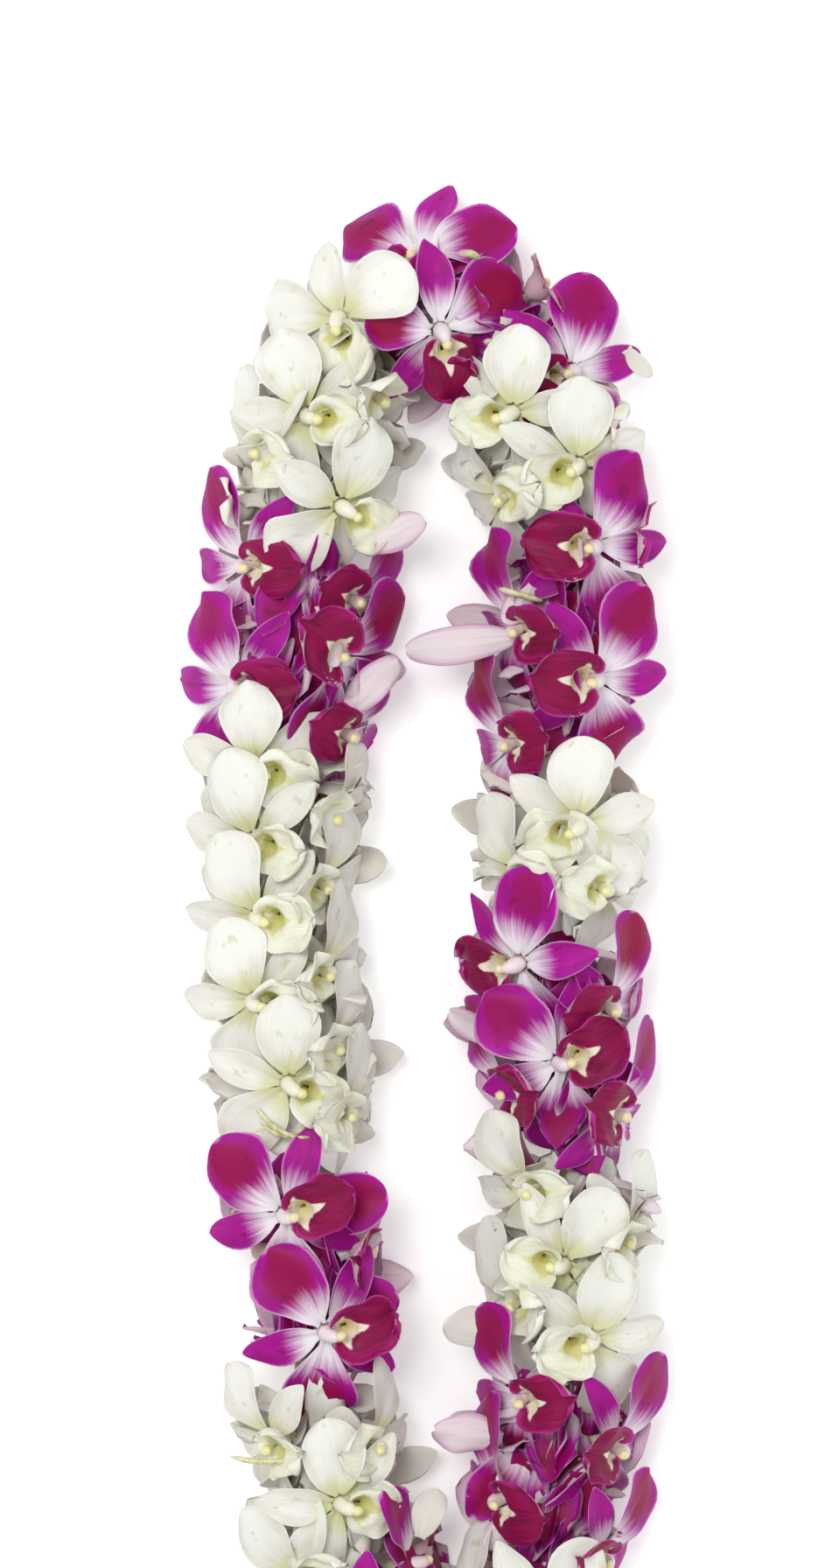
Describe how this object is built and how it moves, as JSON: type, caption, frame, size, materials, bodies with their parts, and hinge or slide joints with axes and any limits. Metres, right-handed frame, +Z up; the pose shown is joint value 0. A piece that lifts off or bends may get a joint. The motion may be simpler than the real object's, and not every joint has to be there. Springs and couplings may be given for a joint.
{
  "type": "flower garland",
  "caption": "Closed garland of fresh purple and white orchid blooms threaded on a knotted string, lying flat as a long slim loop.",
  "frame": {"origin": "middle of the footprint, on the surface that the garland lies on", "axes": "+Y along the loop to its top, +X to the right side of the loop, +Z up from the surface"},
  "size_m": [0.1592, 0.5048, 0.0554],
  "materials": {
    "purple_petals": "satin fresh petals, magenta violet with a darker veined blotch, a white base and a thin pale rim",
    "white_petals": "satin fresh petals, ivory white with a yellow-green throat",
    "cotton_string": "plied natural cotton"
  },
  "bodies": {
    "root": {"purple_bunch_top": "purple_petals", "white_bunch_left_1": "white_petals", "purple_bunch_left_1": "purple_petals", "white_bunch_left_2": "white_petals", "white_bunch_left_3": "white_petals", "purple_bunch_left_2": "purple_petals", "white_bunch_left_4": "white_petals", "purple_bunch_bottom": "purple_petals", "white_bunch_bottom": "white_petals", "purple_bunch_right_3": "purple_petals", "white_bunch_right_3": "white_petals", "purple_bunch_right_2": "purple_petals", "white_bunch_right_2": "white_petals", "purple_bunch_right_1": "purple_petals", "white_bunch_right_1": "white_petals", "string": "cotton_string"}
  },
  "joints": []
}
